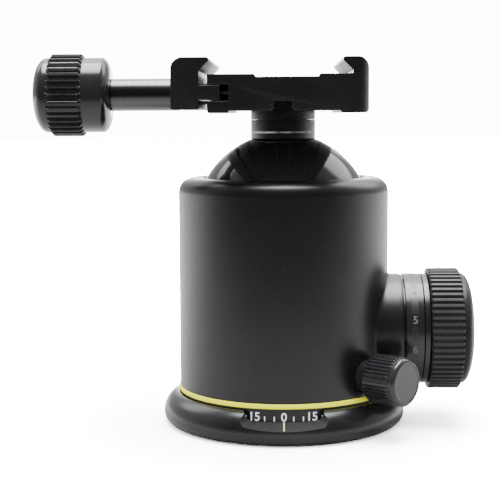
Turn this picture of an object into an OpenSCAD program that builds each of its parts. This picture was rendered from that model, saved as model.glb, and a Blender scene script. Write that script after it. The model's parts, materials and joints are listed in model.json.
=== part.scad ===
// Tripod ball head with a panning base, a friction-dial main knob and a
// dovetail quick-release clamp. Millimetres, +Z up, origin at the centre of
// the base's underside. The main knob points along +X, the pan scale faces -Y.

/* [Base] */
// How far the base flange stands out beyond the housing
base_rim = 4.5; // [4.1:0.1:7.5]
// Height of the flange's top edge
base_h = 9.1; // [8.8:0.1:9.6]
// Radius of the flange's upper bulge
base_bulge_r = 6; // [5.5:0.1:6.4]
// Thickness of the flange's floor
floor_t = 4.2; // [3.8:0.1:4.5]
// Wall radius of the 3/8 inch tripod thread
tripod_thread_r = 3.97; // [3.8:0.01:4.2]
// Length of the tripod thread
tripod_thread_l = 12; // [9:0.5:12.4]
// Width of the scale window at the flange's outer face
window_w = 25.2; // [20:0.2:30]
// Slope that the window's sides lose at each end, front to back
window_taper = 2.4; // [1:0.1:4]
// Width of the index line
index_w = 0.7; // [0.4:0.1:1.5]

/* [Housing] */
// Radius of the housing
housing_r = 28.5; // [28.3:0.1:29]
// Depth of the ball's centre below the housing's top
ball_depth = 12; // [11.6:0.1:12.6]
// Rounding of the housing's top edge
housing_edge_r = 4; // [2:0.1:5]
// Height of the accent ring
ring_h = 1.25; // [0.8:0.05:2]
// How far the accent ring stands out
ring_proud = 0.25; // [0.1:0.05:0.3]
// Half width of the drop notch at the back
notch_r = 9.3; // [9.1:0.1:10.5]

/* [Ball and neck] */
// Housing's radius less the ball's
ball_inset = 4.5; // [4.4:0.05:4.7]
// Thickness of the ball's liner
liner_t = 0.7; // [0.4:0.05:0.75]
// Radius of the neck
neck_r = 8.7; // [8:0.05:8.9]
// Height of the clamp's underside above the ball's top
neck_up = 5.8; // [5.6:0.1:10]
// Width of the key on top of the neck
key_w = 4.5; // [3.5:0.1:5.5]
// Height of the key
key_h = 2.3; // [1.5:0.1:2.6]

/* [Clamp] */
// Length of the clamp and its jaws
clamp_l = 58; // [44:0.5:70]
// Width between the roots of the two jaws' dovetail
dovetail_w = 38; // [37:0.1:39]
// Overhang of each jaw's lip
lip_reach = 2.5; // [1.8:0.1:2.7]
// Height of a jaw above the side decks
jaw_h = 4.2; // [3.8:0.1:5]
// Thickness of the clamp up to its middle deck
deck_t = 8.4; // [8.2:0.1:10]
// How far the jaws stand open at rest
jaw_gap = 2.1; // [0.5:0.1:2.4]
// Thickness of the moving jaw
jaw_t = 7; // [6:0.1:9]
// Length of the bare sleeve between jaw and knob
sleeve_l = 18.4; // [10:0.2:26]
// Radius of the sleeve
sleeve_r = 4.35; // [3.8:0.05:5]
// Radius of the clamp knob over its ribs
clamp_knob_r = 11.1; // [9.5:0.1:13]
// Number of ribs on the clamp knob
clamp_ribs = 36; // [24:1:48]

/* [Main knob] */
// Height of the main knob's axis above the housing's inner floor
spindle_up = 4.15; // [4:0.05:4.3]
// Radius of the boss and of the friction dial
dial_r = 15.05; // [14:0.05:15.6]
// How far the boss stands out beyond the housing
boss_l = 3.3; // [2.5:0.1:5.5]
// Length of the friction dial
dial_l = 5.2; // [4.4:0.1:7]
// Radius of the grip over its ribs
grip_r = 16.5; // [15.6:0.1:18]
// Length of the grip
grip_l = 8.5; // [7.5:0.1:12]
// Length of the end cap
cap_l = 3.9; // [3:0.1:6]
// Number of ribs on the grip
grip_ribs = 60; // [36:1:72]

/* [Pan lock] */
// Height of the pan lock's axis
pan_z = 15.6; // [15.5:0.05:15.8]
// Angle of the pan lock knob in front of the main knob
pan_angle = 40.6; // [30:0.1:50]
// Radius of the pan lock knob
pan_r = 6.4; // [5:0.1:6.5]
// Length of the pan lock knob
pan_knob_l = 10; // [8:0.1:14]
// Number of ribs on the pan lock knob
pan_ribs = 38; // [24:1:48]

/* [Hidden] */
$fn = 96;
fit = 0.05; // radial clearance of a shaft in its hole
slack = 0.3; // gap beside a part that moves past another
eps = 0.01;
over = 5; // how far a short cut runs past what it cuts
far = 200; // a cut that runs right out of the part
base_r = housing_r + base_rim;
ball_r = housing_r - ball_inset;
boss_x = housing_r + boss_l;

// heights of the panning base
washer_t = 0.8;
thin_washer_t = 0.4;
housing_z = floor_t + washer_t;
recess_r = housing_r + slack;
plug_r = ball_r + 1.45;
hub_head_r = plug_r - 6.45;
hub_stem_r = hub_head_r - 3;
head_under = 4.6; // from the pan lock's axis down to the hub head's underside
head_over = 2.8;
head_z = pan_z - head_under;
head_top = pan_z + head_over;
vee = 1.5; // depth and half height of the hub's locking groove
retainer_top = head_z - thin_washer_t;
plug_lid = 2.5;
plug_top = head_top + slack + plug_lid;
drive_h = 7.4; // from the housing's floor to the cup's underside
cup_floor = 1.7;
knob_z = plug_top + spindle_up;
cup_z = plug_top + drive_h;
ball_z = cup_z + cup_floor + liner_t + ball_r;
housing_top = ball_z + ball_depth;
insert_r = 7;
insert_rim_r = 9.5;
insert_rim_t = 2;
insert_rim_z = tripod_thread_l - insert_rim_t;
base_screw_at = (insert_rim_r + hub_stem_r) / 2;
base_screw_r = 1.5;
base_head_r = 2.6;
base_head_t = 2;
base_screw_l = 9;
retainer_screw_at = plug_r - 3.25;
retainer_screw_r = 1.25;
retainer_head_r = 2.2;
retainer_head_t = 2;
retainer_screw_l = 10;
bulge_z = base_h - base_bulge_r;
bulge_at = base_r - base_bulge_r;

// scale window, measured on the flange
sill_rise = 0.95;
sill_z = housing_z + sill_rise;
sill_drop = 1.8;
window_corner = 3;
window_run = 3.2;
index_depth = 0.4;

// inside of the housing
bore_r = ball_r + liner_t + 2 * fit + slack;
seat_clear = 0.1;
seat_h = 4.5;
seat_below = 2;
seat_top = housing_top - seat_below;
lip_clear = 0.35;
cup_below = 10;
cup_top = ball_z - cup_below;
liner_top_angle = 113; // from straight up, so that the neck can drop above it
liner_low_angle = 150;
ring_depth = 0.6;

// lock drive
spindle_r = 3;
nose_r = 1.7;
nose_l = 4.4;
nose_clear = 0.08;
wedge_l = 22;
wedge_w = 14;
wedge_end = 10;
wedge_slope = 0.12;
wedge_t = 5.6;
wedge_z = plug_top + wedge_t;
wedge_gap = 0.05;
ramp_l = 20;
ramp_end = 8;
spindle_screw_r = 1.5;
spindle_screw_l = 6.5;
spindle_head_r = 4.2;
spindle_head_t = 1.6;
bush_r = 6;
bush_flange_r = 7.4;
bush_flange_t = 1.2;
spigot_r = 8.95;
dial_gap = 0.2;
dial_x = boss_x + dial_gap;
dial_end = dial_x + dial_l;
dial_step = 0.35;
dial_step_r = dial_r - 0.65;
snap_t = 0.6;
snap_in = 0.65;
snap_out = 0.85;
snap_gap = 3;
snap_from_end = 1;
spigot_end = dial_end - 0.3;
bush_end = spigot_end - 0.4;
knob_x = dial_end + dial_gap;
collar_l = 1.7;
grip_x = knob_x + collar_l;
grip_end = grip_x + grip_l;
knob_core_r = 13.5;
core_short = 0.6;
cap_r = dial_r - 0.65;
cap_edge = 0.3; // straight edge under the cap's dome
spring_room = 3;
spring_room_r = 7.4;
disc_spring_in = 4.2;
disc_spring_out = 6.6;
disc_spring_t = 0.5;
grip_chamfer = 0.35;
grip_rib_depth = 0.75;
detent_r = 1;
detent_at = dial_r - 3.05;
detent_steps = 12;
detent_l = 3.4;

// pan lock
pan_screw_r = 2.44;
pan_hole_r = pan_screw_r + fit;
pan_collar_r = 4.5;
pan_seat_x = housing_r - 1.5;
pan_knob_x = housing_r + 2.9;
pan_face = pan_knob_x + pan_knob_l;
pan_pad_end = hub_head_r + 2.2;
pan_rib_depth = 0.45;
pan_bezel = 1.9;

// neck
neck_disc_t = 2.35;
neck_line = 0.05;
clamp_z = ball_z + ball_r + neck_up;
neck_z = ball_z + sqrt(pow(ball_r, 2) - pow(neck_r + 0.04, 2));
disc_z = clamp_z - neck_disc_t;
stud_r = 4.95;
stud_z = ball_z + 4;
stud_top = disc_z - 0.05;

// clamp
pad_drop = 0.6;
deck_step = 0.7;
lip_r = 0.65;
jaw_root_x = 17.4;
fixed_jaw_t = 3.2;
plate_play = 0.4; // opening at rest beyond the dovetail's own width
jaw_outer_r = 3;
foot_r = 1.1;
fixed_face_x = jaw_root_x + fixed_jaw_t;
jaw_face_x = jaw_root_x - dovetail_w - plate_play;
body_face_x = jaw_face_x + jaw_gap;
jaw_back_x = jaw_face_x - jaw_t;
axis_up = 4.5;
screw_z = clamp_z + axis_up;
slot_h = 4.1;
slot_l = 5.3;
tongue_h = 3.6;
tongue_l = slot_l;
jaw_foot = 0.3;
left_pad_w = 5.1;
right_pad_w = 6;
mid_left_x = -6.9;
mid_right_x = 8.9;
plan_r = 2.5;
clamp_screw_r = 2.95;
clamp_thread_x = -6.4;
clamp_screw_end = -8.9;
fix_r = 2.95;
fix_head_r = 4.7;
fix_head_t = 3.2;
fix_l = 12;
fix_seat = 4.4;
spring_r = 1.15;
spring_bore = 0.75;
spring_from_end = 9;
spring_at = clamp_l / 2 - spring_from_end;
spring_deep = 6;
spring_l = 9;
washer_r = 4.2;
jaw_washer_t = 1;

// clamp knob, measured from the sleeve's end towards -X
ck_back_x = jaw_back_x - sleeve_l;
ck_smooth_r = clamp_knob_r - 1.05;
ck_shoulder = 2.4;
ck_rib_from = 7.1;
ck_rib_l = 9.3;
ck_rib_depth = 0.95;
ck_cap_l = 4.6;
ck_cap_r = ck_smooth_r;
ck_cap_edge = 0.9;
ck_len = ck_rib_from + ck_rib_l;

// A straight tube on +Z
module tube(r_out, r_in, h) {
  difference() {
    cylinder(r = r_out, h = h);
    translate([0, 0, -1]) cylinder(r = r_in, h = h + 2);
  }
}

// Turns what is built along +Z to run along +X, starting at x, at height z
module along_x(x, z) {
  translate([x, 0, z]) rotate([0, 90, 0]) children();
}

// Turns what is built along +Z to run out along the pan lock's axis
module along_pan(x) {
  rotate([0, 0, -pan_angle]) along_x(x, pan_z) children();
}

// Copies its children n times around +Z
module around(n) {
  for (i = [0:n - 1]) rotate([0, 0, i * 360 / n]) children();
}

// Outline of a ribbed grip: flat-topped ribs with sloping sides
function rib_points(n, r, depth, crest, root) = [
  for (i = [0:n - 1]) for (k = [0:3])
    let (share = [-root, -crest, crest, root][k])
    let (rr = (k == 0 || k == 3) ? r - depth : r)
    let (a = (i + share / 2) * 360 / n)
    [rr * cos(a), rr * sin(a)]
];

// A ribbed grip on +Z, with both ends of the ribs chamfered
module ribbed(n, r, depth, h, chamfer, crest, root) {
  intersection() {
    linear_extrude(height = h) polygon(rib_points(n, r, depth, crest, root));
    rotate_extrude() polygon([
      [0, 0], [r - chamfer, 0], [r + eps, chamfer + eps],
      [r + eps, h - chamfer - eps], [r - chamfer, h], [0, h]
    ]);
  }
}

// Half profile of a disc whose outer edge is rounded at the far end
module rounded_disc_profile(r, h, edge) {
  square([r - edge, h]);
  square([r, h - edge]);
  intersection() {
    translate([r - edge, h - edge]) circle(r = edge);
    translate([r - edge, h - edge]) square(edge);
  }
}

// What rounds off a square corner whose tip is at the origin, going to -X -Y
module corner_waste(r) {
  difference() {
    translate([-r, -r]) square(r + 1);
    translate([-r, -r]) circle(r = r);
  }
}

// Half profile of a dome: a quarter of a superellipse, from its rim inwards to
// a radius, rising from z = 0
function dome_points(r, inner, rise, power) = [
  for (a = [0:9:90])
    [inner + (r - inner) * pow(cos(a), 2 / power), rise * pow(sin(a), 2 / power)]
];

// Half profile of a domed cap with a straight edge below the dome
module cap_profile(r, h, edge, power) {
  polygon(concat(
    [[0, 0], [r, 0]],
    [for (p = dome_points(r, 0, h - edge, power)) [p[0], p[1] + edge]]
  ));
}

// A cap screw on +Z: head up to z = 0 below, shank going up
module screw_up(shank_r, shank_l, head_r, head_t) {
  cylinder(r = head_r, h = head_t);
  translate([0, 0, head_t - eps]) cylinder(r = shank_r, h = shank_l + eps);
}

// ---- base ----

module flange_profile() {
  square([bulge_at, base_h]);
  intersection() {
    translate([bulge_at, bulge_z]) circle(r = base_bulge_r);
    translate([0, bulge_z]) square([base_r + 1, base_h]);
  }
  intersection() {
    translate([base_r - bulge_z, bulge_z]) circle(r = bulge_z);
    square([base_r + 1, bulge_z]);
  }
  square([base_r - bulge_z, bulge_z]);
}

// One outline of the scale window, drawn in X and Z, as a thin plate at y
module window_plate(y, w, low, corner) {
  for (side = [-1, 1]) {
    translate([side * (w / 2 - corner), y, low + corner]) rotate([90, 0, 0])
      cylinder(r = corner, h = eps, $fn = 32);
    translate([side * (w / 2 - corner) - corner, y - eps, low + corner])
      cube([2 * corner, eps, base_h]);
  }
}

// The window tapers from the rim to the recess, then runs on through the wall
// where that curves away at the window's sides
module scale_window() {
  inner = -recess_r + 0.2;
  hull() {
    window_plate(-base_r - 0.2, window_w, sill_z - sill_drop, window_corner);
    window_plate(inner, window_w - 2 * window_taper, sill_z, window_corner - 0.6);
  }
  hull() for (y = [inner - 0.1, inner + window_run])
    window_plate(y, window_w - 2 * window_taper, sill_z, window_corner - 0.6);
}

module base_flange() {
  color("#1b1b1d") difference() {
    rotate_extrude() flange_profile();
    translate([0, 0, floor_t]) cylinder(r = recess_r, h = base_h);
    translate([0, 0, -1]) cylinder(r = insert_r + fit, h = base_h);
    scale_window();
    index_bar(index_w + 2 * fit, 0);
    around(4) translate([base_screw_at, 0, -1]) {
      cylinder(r = base_screw_r + 0.1, h = base_h);
      cylinder(r = base_head_r + 0.1, h = base_head_t + 1.3);
    }
  }
}

// A bar of the index line's shape: its top follows the sill's slope, sunk in
// by a distance, and its ends and underside are drawn in by the same distance
module index_bar(w, sink) {
  inner = recess_r + 0.05 + sink;
  outer = base_r - 0.12 - sink;
  slope = sill_drop / (base_r - recess_r + 0.4);
  translate([w / 2, 0, 0]) rotate([90, 0, -90]) linear_extrude(height = w) polygon([
    [inner, sill_z - sill_drop - index_depth + sink],
    [inner, sill_z - sink - slope * (inner - recess_r + 0.2)],
    [outer, sill_z - sink - slope * (outer - recess_r + 0.2)],
    [outer, sill_z - sill_drop - index_depth + sink]
  ]);
}

module index_line() {
  color("#d9cf9a") index_bar(index_w, 0.02);
}

module thread_insert() {
  color("#b8b8bc") difference() {
    union() {
      cylinder(r = insert_r, h = tripod_thread_l);
      translate([0, 0, insert_rim_z]) cylinder(r = insert_rim_r, h = insert_rim_t);
    }
    translate([0, 0, -1]) cylinder(r = tripod_thread_r, h = tripod_thread_l + 2);
  }
}

module pan_hub() {
  color("#9a9a9e") difference() {
    rotate_extrude() difference() {
      union() {
        translate([0, floor_t]) square([hub_stem_r, head_top - floor_t]);
        translate([0, head_z]) square([hub_head_r, head_top - head_z]);
      }
      translate([hub_head_r - vee, pan_z])
        polygon([[0, 0], [vee + 1, -vee - 1], [vee + 1, vee + 1]]);
    }
    translate([0, 0, floor_t - 1]) cylinder(r = insert_r + fit, h = head_top);
    translate([0, 0, insert_rim_z]) cylinder(r = insert_rim_r + fit, h = head_top);
    around(4) translate([base_screw_at, 0, floor_t - 1])
      cylinder(r = base_screw_r + fit, h = base_head_t + base_screw_l - floor_t + 2.2);
  }
}

module base_screws() {
  color("#8c8c90") around(4) translate([base_screw_at, 0, 0.3]) difference() {
    screw_up(base_screw_r, base_screw_l, base_head_r, base_head_t);
    translate([0, 0, -1]) cylinder(r = 1.2, h = 2.2, $fn = 6);
  }
}

module lower_bearing_washer() {
  color("#e9e7df") translate([0, 0, floor_t])
    tube(recess_r - 1, hub_stem_r + slack, washer_t);
}

// ---- housing ----

module housing() {
  color("#1d1d1f") difference() {
    union() {
      rotate_extrude() difference() {
        union() {
          translate([0, housing_z]) rounded_disc_profile(
            housing_r, housing_top - housing_z, housing_edge_r);
        }
        translate([0, housing_z - 1]) square([plug_r + fit, plug_top - housing_z + 1]);
        square([bore_r, seat_top]);
        translate([0, ball_z]) circle(r = ball_r + lip_clear);
      }
      difference() {
        union() {
          along_x(0, knob_z) cylinder(r = dial_r, h = boss_x);
          along_x(0, knob_z) cylinder(r = spigot_r, h = spigot_end);
        }
        cylinder(r = housing_r - 1, h = housing_top);
        along_x(0, knob_z) translate([0, 0, spigot_end - snap_from_end])
          tube(spigot_r + 1, spigot_r - snap_in, snap_t + 2 * fit);
      }
    }
    translate([0, 0, base_h]) tube(housing_r + ring_proud + fit, housing_r - ring_depth, ring_h);
    along_x(0, knob_z) cylinder(r = bush_r + fit, h = far);
    along_x(bush_end - bush_flange_t, knob_z) cylinder(r = bush_flange_r + fit, h = far);
    translate([0, 0, knob_z]) rotate([0, 90, 0]) translate([0, detent_at, boss_x - detent_l])
      cylinder(r = detent_r + fit, h = detent_l + 1);
    along_pan(0) cylinder(r = pan_hole_r + fit, h = housing_r + over);
    along_pan(pan_seat_x) cylinder(r = pan_collar_r + 0.1, h = over);
    drop_notch();
  }
}

// The slot that lets the neck drop to the horizontal, at the back
module drop_notch() {
  translate([0, 0, ball_z]) rotate([-90, 0, 0]) cylinder(r = notch_r, h = housing_r + over);
  translate([-notch_r, 0, ball_z]) cube([2 * notch_r, housing_r + over, housing_top]);
}

module accent_ring() {
  color("#d7dc5e") translate([0, 0, base_h])
    tube(housing_r + ring_proud, housing_r - ring_depth + eps, ring_h);
}

module housing_floor() {
  color("#3a3a3d") difference() {
    translate([0, 0, retainer_top]) cylinder(r = plug_r, h = plug_top - retainer_top);
    translate([0, 0, retainer_top - 1]) cylinder(r = hub_head_r + slack, h = head_top + slack - retainer_top + 1);
    along_pan(0) cylinder(r = pan_hole_r, h = housing_r + over);
    around(4) translate([retainer_screw_at, 0, retainer_top - 1])
      cylinder(r = retainer_screw_r + fit, h = retainer_screw_l + housing_z + 2 - retainer_top);
  }
}

module hub_retainer_ring() {
  color("#55555a") difference() {
    translate([0, 0, housing_z]) tube(plug_r, hub_stem_r + fit, retainer_top - housing_z);
    around(4) translate([retainer_screw_at, 0, housing_z - 1]) {
      cylinder(r = retainer_screw_r + fit, h = retainer_top);
      cylinder(r = retainer_head_r + 0.1, h = retainer_head_t + 1.2);
    }
  }
}

module retainer_screws() {
  color("#8c8c90") around(4) translate([retainer_screw_at, 0, housing_z + 0.2]) difference() {
    screw_up(retainer_screw_r, retainer_screw_l - retainer_head_t, retainer_head_r, retainer_head_t);
    translate([0, 0, -1]) cylinder(r = 1, h = 2, $fn = 6);
  }
}

module upper_bearing_washer() {
  color("#e9e7df") translate([0, 0, retainer_top])
    tube(hub_head_r - 0.2, hub_stem_r + slack, thin_washer_t);
}

module pan_lock_pad() {
  tip = hub_head_r - vee + 0.4;
  cone_end = hub_head_r - vee + pan_screw_r + 0.1;
  color("#c9a24a") along_pan(tip) {
    cylinder(r1 = 0.3, r2 = pan_screw_r, h = cone_end - tip);
    translate([0, 0, cone_end - tip - eps]) cylinder(r = pan_screw_r, h = pan_pad_end - cone_end);
  }
}

module upper_seat_ring() {
  color("#e6e2d6") difference() {
    translate([0, 0, seat_top - seat_h]) cylinder(r = bore_r - fit, h = seat_h);
    translate([0, 0, ball_z]) sphere(r = ball_r + seat_clear);
    drop_notch();
  }
}

module lower_cup() {
  color("#77777c") difference() {
    translate([0, 0, cup_z]) cylinder(r = bore_r - 0.1, h = cup_top - cup_z);
    translate([0, 0, ball_z]) sphere(r = ball_r + liner_t + 2 * fit);
  }
}

// The sloping face between wedge and ramp block, seen along Y
function slope_z(x) = wedge_z + wedge_slope * x;

module ramp_block() {
  x0 = ramp_end - ramp_l;
  x1 = ramp_end;
  color("#a9a9ae") translate([0, wedge_w / 2, 0]) rotate([90, 0, 0])
    linear_extrude(height = wedge_w) polygon([
      [x0, slope_z(x0) + wedge_gap], [x1, slope_z(x1) + wedge_gap], [x1, cup_z], [x0, cup_z]
    ]);
}

module lock_wedge() {
  x0 = wedge_end - wedge_l;
  color("#c3c3c8") difference() {
    translate([0, wedge_w / 2, 0]) rotate([90, 0, 0])
      linear_extrude(height = wedge_w) polygon([
        [x0, plug_top], [wedge_end, plug_top], [wedge_end, slope_z(wedge_end)], [x0, slope_z(x0)]
      ]);
    along_x(wedge_end - nose_l - 0.4, knob_z) cylinder(r = nose_r + nose_clear, h = nose_l + over);
  }
}

// ---- main knob ----

module spindle_bushing() {
  x0 = plug_r + slack;
  color("#c6a052") difference() {
    union() {
      along_x(x0, knob_z) cylinder(r = bush_r, h = bush_end - x0);
      along_x(bush_end - bush_flange_t, knob_z) cylinder(r = bush_flange_r, h = bush_flange_t);
    }
    along_x(0, knob_z) cylinder(r = spindle_r + fit, h = far);
  }
}

module detent_ball() {
  color("#d0d0d4") translate([boss_x + 0.1 - detent_r, detent_at, knob_z]) sphere(r = detent_r);
}

module detent_spring() {
  color("#b0b0b4") translate([boss_x - detent_l, detent_at, knob_z]) rotate([0, 90, 0])
    tube(detent_r - 0.05, detent_r - 0.45, detent_l - 1.75);
}

module friction_dial() {
  color("#232326") difference() {
    union() {
      along_x(dial_x, knob_z) cylinder(r = dial_step_r, h = dial_l);
      along_x(dial_x + dial_step, knob_z) cylinder(r = dial_r, h = dial_l - dial_step);
    }
    along_x(0, knob_z) cylinder(r = spigot_r + fit, h = far);
    along_x(spigot_end - snap_from_end - 0.1, knob_z) cylinder(r = spigot_r + snap_out + 0.3, h = far);
    for (i = [0:detent_steps - 1])
      translate([0, 0, knob_z]) rotate([i * 360 / detent_steps, 0, 0])
        translate([boss_x + 0.1 - detent_r, detent_at, 0]) sphere(r = detent_r + 0.25);
  }
}

module dial_snap_ring() {
  color("#c9c9cd") along_x(spigot_end - snap_from_end + fit, knob_z) difference() {
    tube(spigot_r + snap_out, spigot_r - snap_in + 0.04, snap_t);
    translate([-snap_gap / 2, spigot_r - snap_gap, -1]) cube([snap_gap, 2 * snap_gap, snap_t + 2]);
  }
}

module friction_springs() {
  x0 = spigot_end - 0.35;
  room = knob_x + spring_room - x0;
  t = disc_spring_t;
  rise = room / 2 - t - 0.02;
  color("#b9b9be") along_x(x0, knob_z) rotate_extrude() {
    polygon([
      [disc_spring_in, 0], [disc_spring_out, rise], [disc_spring_out, rise + t], [disc_spring_in, t]
    ]);
    polygon([
      [disc_spring_out, rise + t], [disc_spring_out, rise + 2 * t],
      [disc_spring_in, 2 * (rise + t)], [disc_spring_in, 2 * rise + t]
    ]);
  }
}

module knob_hub() {
  color("#2a2a2d") difference() {
    union() {
      along_x(knob_x, knob_z) cylinder(r = dial_r, h = collar_l);
      along_x(knob_x, knob_z) cylinder(r = knob_core_r - fit, h = collar_l + grip_l - core_short);
    }
    along_x(0, knob_z) cylinder(r = spindle_r + fit, h = far);
    along_x(0, knob_z) cylinder(r = spring_room_r, h = knob_x + spring_room);
  }
}

module knob_grip() {
  color("#1a1a1c") difference() {
    along_x(grip_x, knob_z) ribbed(grip_ribs, grip_r, grip_rib_depth, grip_l, grip_chamfer, 0.62, 0.78);
    along_x(0, knob_z) cylinder(r = knob_core_r, h = far);
  }
}

module knob_end_cap() {
  color("#1f1f21") along_x(grip_end, knob_z) difference() {
    union() {
      rotate_extrude() cap_profile(cap_r, cap_l, cap_edge, 2.3);
      translate([0, 0, -0.5]) cylinder(r = knob_core_r - fit, h = 1);
    }
    translate([0, 0, -1]) cylinder(r = knob_core_r - 2.5, h = 1 + cap_l - 1.6);
  }
}

module main_spindle() {
  x0 = wedge_end - nose_l;
  shoulder = wedge_end + 0.2;
  color("#bfbfc4") difference() {
    union() {
      along_x(x0, knob_z) cylinder(r = nose_r, h = shoulder - x0 + eps);
      along_x(shoulder, knob_z) cylinder(r = spindle_r, h = grip_end - core_short - shoulder);
    }
    along_x(grip_end - core_short - spindle_screw_l - 0.5, knob_z)
      cylinder(r = spindle_screw_r, h = spindle_screw_l + over);
  }
}

module spindle_screw() {
  x0 = grip_end - core_short;
  color("#8c8c90") difference() {
    union() {
      along_x(x0 - spindle_screw_l, knob_z) cylinder(r = spindle_screw_r - fit, h = spindle_screw_l + eps);
      along_x(x0, knob_z) cylinder(r = spindle_head_r, h = spindle_head_t);
    }
    along_x(x0 + 0.6, knob_z) cylinder(r = 1.4, h = 3, $fn = 6);
  }
}

// ---- pan lock ----

module pan_lock_knob() {
  rib_l = pan_knob_l - pan_bezel;
  color("#202023") along_pan(pan_knob_x) difference() {
    union() {
      ribbed(pan_ribs, pan_r, pan_rib_depth, rib_l, 0.5, 0.45, 0.75);
      translate([0, 0, rib_l - 0.2]) rotate_extrude()
        rounded_disc_profile(pan_r - 0.1, pan_bezel + 0.2, 0.9);
    }
    translate([0, 0, pan_knob_l - 0.35]) cylinder(r = pan_r - 1.5, h = 1);
    translate([0, 0, -1]) cylinder(r = pan_screw_r + eps, h = pan_knob_l - 1.5);
  }
}

module pan_lock_screw() {
  color("#bfbfc4") along_pan(pan_pad_end + 0.1)
    cylinder(r = pan_screw_r, h = pan_face - 2.6 - pan_pad_end);
}

module pan_lock_collar() {
  color("#2b2b2e") along_pan(pan_seat_x + slack)
    tube(pan_collar_r, pan_screw_r + fit, pan_knob_x - pan_seat_x - slack);
}

// ---- ball and neck ----

module ball_liner() {
  r_mid = ball_r + fit;
  color("#f0efe8") translate([0, 0, ball_z]) rotate_extrude() intersection() {
    difference() {
      circle(r = r_mid + liner_t);
      circle(r = r_mid);
    }
    polygon([
      [0, 0],
      [40 * sin(liner_top_angle), 40 * cos(liner_top_angle)],
      [40 * sin(liner_top_angle), 40 * cos(liner_low_angle) - 20],
      [40 * sin(liner_low_angle), 40 * cos(liner_low_angle)]
    ]);
  }
}

module ball() {
  color("#0d0d0e") difference() {
    translate([0, 0, ball_z]) sphere(r = ball_r);
    translate([-ball_r, -ball_r, neck_z]) cube([2 * ball_r, 2 * ball_r, ball_r]);
    translate([0, 0, stud_z - 0.5]) cylinder(r = stud_r + fit, h = ball_r);
  }
}

module neck() {
  color("#202022") translate([0, 0, neck_z + 0.02])
    tube(neck_r, stud_r + fit, disc_z - neck_line - neck_z - 0.02);
}

module neck_stud() {
  color("#c0c0c5") difference() {
    translate([0, 0, stud_z]) cylinder(r = stud_r, h = stud_top - stud_z);
    translate([0, 0, clamp_z + fix_seat - fix_l - 0.5]) cylinder(r = fix_r + fit, h = 40);
  }
}

module key_disc() {
  color("#1c1c1e") difference() {
    union() {
      translate([0, 0, disc_z]) cylinder(r = neck_r, h = clamp_z - disc_z);
      intersection() {
        translate([0, 0, disc_z]) cylinder(r = neck_r, h = neck_disc_t + key_h);
        translate([-key_w / 2, -neck_r, disc_z]) cube([key_w, 2 * neck_r, neck_disc_t + key_h]);
      }
    }
    translate([0, 0, disc_z - 1]) cylinder(r = fix_r + 0.15, h = 20);
  }
}

// ---- clamp ----

// A jaw's head above the deck, its inner face at x = 0 and its outside at +X.
// The lip's underside slopes at 45 degrees and runs into the round of its tip.
module jaw_head_profile(t) {
  tip_x = -lip_reach + lip_r;
  tip_z = jaw_h - lip_r;
  under_x = tip_x - lip_r * sqrt(0.5);
  under_z = tip_z - lip_r * sqrt(0.5);
  difference() {
    union() {
      translate([0, -1]) square([t, jaw_h + 1]);
      translate([tip_x, tip_z]) circle(r = lip_r);
      polygon([
        [1, jaw_h], [tip_x, jaw_h], [tip_x, tip_z],
        [under_x, under_z], [0, under_z + under_x], [1, under_z + under_x]
      ]);
    }
    translate([t, jaw_h]) corner_waste(jaw_outer_r);
  }
}

module clamp_profile() {
  side_deck = deck_t + deck_step;
  difference() {
    union() {
      polygon([
        [body_face_x, -pad_drop], [body_face_x + left_pad_w, -pad_drop],
        [body_face_x + left_pad_w + pad_drop * 0.5, 0],
        [fixed_face_x - right_pad_w - pad_drop * 0.5, 0],
        [fixed_face_x - right_pad_w, -pad_drop], [fixed_face_x, -pad_drop],
        [fixed_face_x, side_deck], [mid_right_x + deck_step * 0.5, side_deck],
        [mid_right_x, deck_t], [mid_left_x, deck_t],
        [mid_left_x - deck_step * 0.4, side_deck], [body_face_x, side_deck]
      ]);
      translate([jaw_root_x, side_deck]) jaw_head_profile(fixed_jaw_t);
    }
    translate([body_face_x - 1, axis_up - slot_h / 2]) square([slot_l + 1, slot_h]);
    translate([-key_w / 2 - fit, -1]) square([key_w + 2 * fit, key_h + 0.1 + 1]);
    translate([fixed_face_x, -pad_drop]) mirror([0, 1]) corner_waste(foot_r);
    translate([body_face_x, -pad_drop]) mirror([1, 0]) mirror([0, 1]) corner_waste(0.5);
  }
}

// The clamp's plan, with the fixed jaw's two outer corners rounded
module clamp_plan() {
  x0 = body_face_x - 1;
  translate([x0, -clamp_l / 2]) square([fixed_face_x - plan_r - x0, clamp_l]);
  translate([x0, -clamp_l / 2 + plan_r]) square([fixed_face_x - x0, clamp_l - 2 * plan_r]);
  for (side = [-1, 1])
    translate([fixed_face_x - plan_r, side * (clamp_l / 2 - plan_r)]) circle(r = plan_r);
}

module clamp_body() {
  color("#2c2c2f") difference() {
    intersection() {
      translate([0, clamp_l / 2, clamp_z]) rotate([90, 0, 0])
        linear_extrude(height = clamp_l) clamp_profile();
      translate([0, 0, clamp_z - 5]) linear_extrude(height = 30) clamp_plan();
    }
    translate([0, 0, clamp_z - 1]) cylinder(r = fix_r + 0.15, h = 30);
    translate([0, 0, clamp_z + fix_seat]) cylinder(r = fix_head_r + 0.2, h = 30);
    along_x(body_face_x - 1, screw_z)
      cylinder(r = clamp_screw_r + fit, h = clamp_thread_x - body_face_x + 1);
    for (side = [-1, 1]) translate([0, side * spring_at, 0])
      along_x(body_face_x, screw_z) cylinder(r = spring_r + 0.1, h = slot_l + spring_deep);
  }
}

module clamp_fixing_screw() {
  color("#8c8c90") difference() {
    union() {
      translate([0, 0, clamp_z + fix_seat]) cylinder(r = fix_head_r, h = fix_head_t);
      translate([0, 0, clamp_z + fix_seat - fix_l]) cylinder(r = fix_r, h = fix_l + eps);
    }
    translate([0, 0, clamp_z + fix_seat + 1]) cylinder(r = 2.3, h = 10, $fn = 6);
  }
}

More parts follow.
